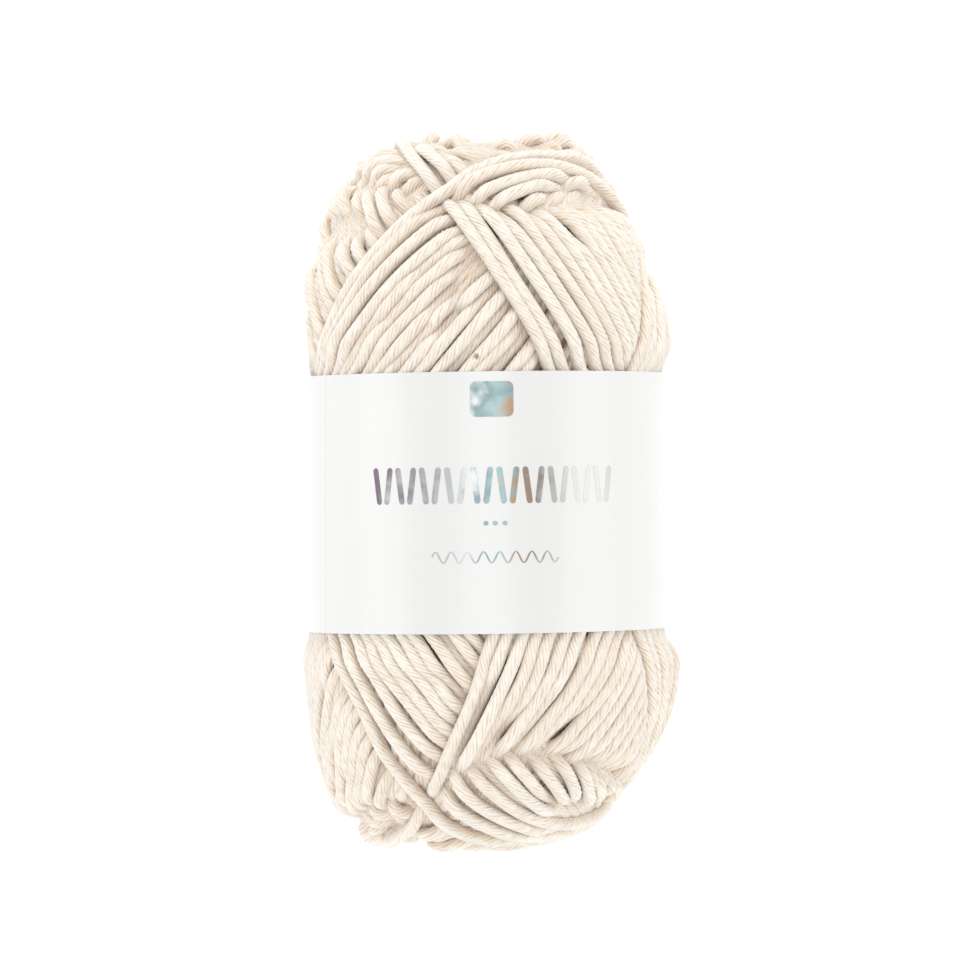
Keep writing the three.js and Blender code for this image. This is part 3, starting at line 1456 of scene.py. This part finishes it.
@dataclass
class PaperBand:
    """The paper band: one strip wound round the ball and glued over its own start.

    Attributes:
        seam: Azimuth where the strip starts.
        tuck: Share of the overlap over which its start stays tucked in.
        tuck_depth: How deep it's tucked, in thicknesses of the paper.
        ripple: Height of the waves along its edges.
        ripple_turns: How many go round the ball.
        ripple_slant: How they lean, in radians to the metre.
        crease: Depth of its soft fold.
        crease_place: The fold's azimuth.
        crease_half: Half its width, in radians.
        crease_fade: Places across, in widths of the band, where it's gone and where it's whole.
        bend: Angle up to which its faces are shaded as one.
    """

    form: BallForm
    overlap: float = math.radians(22)
    seam: float = math.radians(150)
    tuck: float = 0.6
    tuck_depth: float = 1.15
    ripple: float = 0.10 * MM
    ripple_turns: float = 9.0
    ripple_slant: float = 40.0
    crease: float = 0.35 * MM
    crease_place: float = -1.03
    crease_half: float = 0.045
    crease_fade: tuple = (-1.2, 0.2)
    bend: float = math.radians(40)
    columns: int = 320
    rows: int = 24
    strip: bpy.types.Object = None

    def build(self) -> None:
        """Models a flat strip and wraps it round the ball."""
        bpy.ops.object.select_all(action="DESELECT")
        bpy.ops.mesh.primitive_grid_add(
            x_subdivisions=self.columns, y_subdivisions=self.rows, size=1.0)
        self.strip, place = added("band_strip")
        form = self.form
        around = (place[:, 0] + 0.5) * (2 * math.pi + self.overlap)
        across = place[:, 1] * form.band_width
        tucked = 1.0 - smoothstep(0.0, 1.0, around / self.overlap - self.tuck)
        radius = form.band_radius - form.paper / 2 - tucked * form.paper * self.tuck_depth
        points = self.wrap(self.seam + around, across, radius)
        self.strip.data.vertices.foreach_set("co", points.ravel())
        self.strip.data.update()
        self._thicken()

    def wrap(self, azimuth: np.ndarray, across: np.ndarray, radius: np.ndarray) -> np.ndarray:
        """Puts points of the flat strip round the ball.

        Args:
            azimuth: Azimuths, in radians.
            across: Places across the strip from its middle.
            radius: Radii from the ball's axis.

        Returns:
            Rows of x, y, z.
        """
        form = self.form
        edge = np.abs(across) / (form.band_width / 2)
        wave = np.sin(azimuth * self.ripple_turns + across * self.ripple_slant)
        fold = np.exp(-(((azimuth - self.crease_place) / self.crease_half) ** 2))
        whole = smoothstep(*self.crease_fade, across / form.band_width)
        radius = radius + self.ripple * wave * edge**4 - self.crease * fold * whole
        aside = radius * np.sin(azimuth)
        up = form.axis_height + radius * np.cos(azimuth)
        up = np.maximum(up, form.band_radius - radius)
        roll = form.band_roll
        x = form.middle.x + aside * math.cos(roll) - across * math.sin(roll)
        y = form.middle.y + aside * math.sin(roll) + across * math.cos(roll)
        return np.stack([x, y, up], axis=-1)

    def _thicken(self) -> None:
        """Gives the strip the paper's thickness and turns its faces outwards."""
        item = self.strip
        middle = Vector((self.form.middle.x, self.form.middle.y, self.form.axis_height))
        face = item.data.polygons[len(item.data.polygons) // 2]
        if face.normal.dot(face.center - middle) < 0:
            edit_whole(item, bpy.ops.mesh.flip_normals)
        thicken(item, self.form.paper, even=True)
        bpy.ops.object.shade_smooth_by_angle(angle=self.bend)

    def dress(self) -> None:
        """Gives the strip its finish and joins it to the frame."""
        attach(self.strip, PaperFinish().make(), BAND_NODE)


@dataclass(frozen=True)
class Ribbon:
    """A flat shape on the band: half widths along a centre line.

    Attributes:
        arc: Places of the centre line round the band, in metres from its front.
        across: Places of the centre line across the band.
        half: Half widths.
    """

    arc: np.ndarray
    across: np.ndarray
    half: np.ndarray

    @classmethod
    def bar(cls, start: tuple, end: tuple, half: float, steps: int = 14) -> "Ribbon":
        """A straight bar with round ends.

        Args:
            start: Place of one end, round and across the band.
            end: Place of the other end.
            half: Half its width.
            steps: How many lengths it's cut into.

        Returns:
            The bar.
        """
        share = (1.0 - np.cos(np.linspace(0.0, math.pi, steps + 1))) / 2
        length = math.dist(start, end)
        nearest = np.minimum(share, 1.0 - share) * length
        inside = np.clip(1.0 - nearest / half, 0.0, 1.0)
        width = half * np.sqrt(1.0 - inside**2)
        return cls(blend(start[0], end[0], share), blend(start[1], end[1], share), width)


@dataclass
class FoilPrint:
    """The foil stamped on the front of the band: a patch, a row of stitches, dots and a wave.

    Each group's first two numbers are where its middle is, round and across the band.

    Attributes:
        patch: The patch's middle, length and height.
        row: The same for the row of stitches.
        stroke: Half the width of a stitch's strokes.
        spread: How far its tops are from its middle, as a share of the pitch.
        feet: How far its feet are, in half widths of a stroke.
        dots: The dots' middle and pitch.
        dot: Half a dot's length and half its width.
        wave: The wave's middle, length and half height.
        wave_half: Half its width where it's thinnest, and how much that swells.
        over: Height of the foil's middle over the paper.
        weld: Distance within which points are one.
    """

    band: PaperBand
    patch: tuple = (1.1 * MM, 14.0 * MM, 5.9 * MM, 4.8 * MM)
    corner: float = 0.8 * MM
    patch_steps: int = 24
    row: tuple = (1.4 * MM, 2.35 * MM, 35.6 * MM, 5.0 * MM)
    stitches: int = 10
    stroke: float = 0.42 * MM
    spread: float = 0.34
    feet: float = 1.3
    dots: tuple = (1.4 * MM, -2.8 * MM, 1.3 * MM)
    dot: tuple = (0.36 * MM, 0.3 * MM)
    wave: tuple = (1.4 * MM, -7.4 * MM, 17.5 * MM, 0.75 * MM)
    wave_pitch: float = 2.2 * MM
    wave_steps: int = 220
    wave_half: tuple = (0.07 * MM, 0.05 * MM)
    columns: int = 7
    over: float = 0.012 * MM
    thickness: float = 0.022 * MM
    weld: float = 0.001 * MM
    item: bpy.types.Object = None

    def build(self) -> None:
        """Lays every shape on the paper and joins them into one piece."""
        points, faces, base = [], [], 0
        for ribbon in self._ribbons():
            laid, quads = self._mesh(ribbon)
            points.append(laid)
            faces.extend((quads + base).tolist())
            base += len(laid)
        self.item = add_mesh("foil_print", np.concatenate(points), faces)
        edit_whole(self.item, bpy.ops.mesh.remove_doubles, threshold=self.weld)
        thicken(self.item, self.thickness)

    def _ribbons(self) -> list:
        """Lists the shapes.

        Returns:
            The shapes, as ribbons.
        """
        centre, level, long, high = self.patch
        along = centre + long / 2 * -np.cos(np.linspace(0.0, math.pi, self.patch_steps + 1))
        past = np.clip(np.abs(along - centre) - (long / 2 - self.corner), 0.0, self.corner)
        half = high / 2 - self.corner + np.sqrt(self.corner**2 - past**2)
        shapes = [Ribbon(along, np.full(len(along), level), half)]
        centre, level, long, high = self.row
        pitch = long / self.stitches
        for index in range(self.stitches):
            middle = centre + (index - (self.stitches - 1) / 2) * pitch
            for side in (-1, 1):
                top = (middle + side * pitch * self.spread, level + high / 2)
                foot = (middle + side * self.stroke * self.feet, level - high / 2)
                shapes.append(Ribbon.bar(foot, top, self.stroke))
        centre, level, pitch = self.dots
        reach, half = self.dot
        for side in (-1, 0, 1):
            middle = centre + side * pitch
            shapes.append(Ribbon.bar((middle - reach, level), (middle + reach, level), half))
        centre, level, long, high = self.wave
        along = centre + np.linspace(-0.5, 0.5, self.wave_steps + 1) * long
        turn = (along - centre) / self.wave_pitch * 2 * math.pi
        thin, swell = self.wave_half
        half = thin + swell * (0.5 + 0.5 * np.cos(turn * 2))
        shapes.append(Ribbon(along, level + high * np.sin(turn), half))
        return shapes

    def _mesh(self, ribbon: Ribbon) -> tuple:
        """Makes one shape's points on the paper and its faces.

        Args:
            ribbon: The shape.

        Returns:
            Rows of x, y, z and rows of four point numbers.
        """
        columns = self.columns
        ahead = unit(np.stack([np.gradient(ribbon.arc), np.gradient(ribbon.across)], -1))
        share = np.linspace(-1.0, 1.0, columns)
        reach = ribbon.half[:, None] * share[None, :]
        arc = ribbon.arc[:, None] - ahead[:, 1:] * reach
        across = ribbon.across[:, None] + ahead[:, :1] * reach
        radius = np.full(arc.size, self.band.form.band_radius + self.over)
        laid = self.band.wrap((arc / self.band.form.band_radius).ravel(), across.ravel(), radius)
        start = (np.arange(len(ribbon.arc) - 1)[:, None] * columns
                 + np.arange(columns - 1)[None, :]).ravel()
        quads = np.stack([start, start + columns, start + columns + 1, start + 1], axis=-1)
        return laid, quads

    def dress(self) -> None:
        """Gives the print its finish and joins it to the frame."""
        attach(self.item, FoilFinish().make(), BAND_NODE)


# ------------------------------------------------------------------------------ studio


@dataclass
class Studio:
    """Floor, soft lights and the camera that looks down on the band's front.

    Attributes:
        picture: Width and height of the picture, in pixels.
        scale: Size of a pixel at the ball's axis.
        ball_pixel: The pixel that the ball's middle falls on.
        distance: How far the camera is from the axis.
        boxes: Each soft box's name, place, size and power.
        air: Strength of the even light from all round.
        floor_drop: How far the floor lies below the ball.
    """

    form: BallForm
    picture: int = 980
    scale: float = 0.14 * MM
    ball_pixel: tuple = (485.0, 488.5)
    distance: float = 720 * MM
    sensor: float = 36.0
    farthest: float = 10.0
    boxes: tuple = (
        ("box_left", (-0.42, 0.02, 0.20), 0.30, 0.56),
        ("box_right", (0.42, -0.02, 0.20), 0.30, 0.5),
        ("box_top", (0.0, 0.42, 0.24), 0.35, 0.95),
        ("box_bottom", (0.0, -0.42, 0.24), 0.35, 0.65),
        ("box_front", (0.0, -0.05, 0.70), 0.35, 0.75),
    )
    air: float = 0.55
    floor_size: float = 3.0
    floor_drop: float = 0.2 * MM

    def build(self) -> None:
        """Sets the floor, the lights, the world and the camera."""
        self._floor()
        self._lights()
        self._world()
        self._camera()
        bpy.context.scene.view_settings.view_transform = "Standard"

    def _floor(self) -> None:
        """Adds the floor."""
        bpy.ops.object.select_all(action="DESELECT")
        place = (0.0, 0.0, -self.floor_drop)
        bpy.ops.mesh.primitive_plane_add(size=self.floor_size, location=place)
        floor = bpy.context.object
        floor.name = "studio_floor"
        bpy.ops.object.transform_apply(location=True, rotation=True, scale=True)
        floor.data.materials.append(FloorFinish().make())

    def _lights(self) -> None:
        """Adds the soft boxes, all aimed at the ball's middle."""
        for name, place, size, power in self.boxes:
            data = bpy.data.lights.new(name, "AREA")
            data.shape = "SQUARE"
            data.size = size
            data.energy = power
            lamp = bpy.data.objects.new(name, data)
            lamp.location = place
            aim = Vector((0.0, 0.0, self.form.axis_height)) - Vector(place)
            lamp.rotation_euler = aim.to_track_quat("-Z", "Y").to_euler()
            bpy.context.scene.collection.objects.link(lamp)

    def _world(self) -> None:
        """Lights the scene evenly from all round."""
        world = bpy.data.worlds.new("studio_air")
        world.use_nodes = True
        inputs = world.node_tree.nodes["Background"].inputs
        inputs["Color"].default_value = (1, 1, 1, 1)
        inputs["Strength"].default_value = self.air
        bpy.context.scene.world = world

    def _camera(self) -> None:
        """Adds the camera, straight above the front of the band."""
        centre = self.picture / 2
        aside = (centre - self.ball_pixel[0]) * self.scale
        along = (self.ball_pixel[1] - centre) * self.scale
        data = bpy.data.cameras.new("camera")
        data.sensor_width = self.sensor
        data.lens = self.sensor * self.distance / (self.picture * self.scale)
        data.clip_end = self.farthest
        camera = bpy.data.objects.new("camera", data)
        height = self.form.axis_height + self.distance
        camera.location = (self.form.middle.x + aside, along, height)
        bpy.context.scene.collection.objects.link(camera)
        bpy.context.scene.camera = camera


def main() -> None:
    """Builds and dresses every part in order."""
    logging.basicConfig(level=logging.INFO, format="%(name)s %(message)s")
    form = BallForm()
    Studio(form).build()
    band = PaperBand(form)
    for part in (YarnBall(form), band, FoilPrint(band)):
        part.build()
        part.dress()


if __name__ == "__main__":
    main()
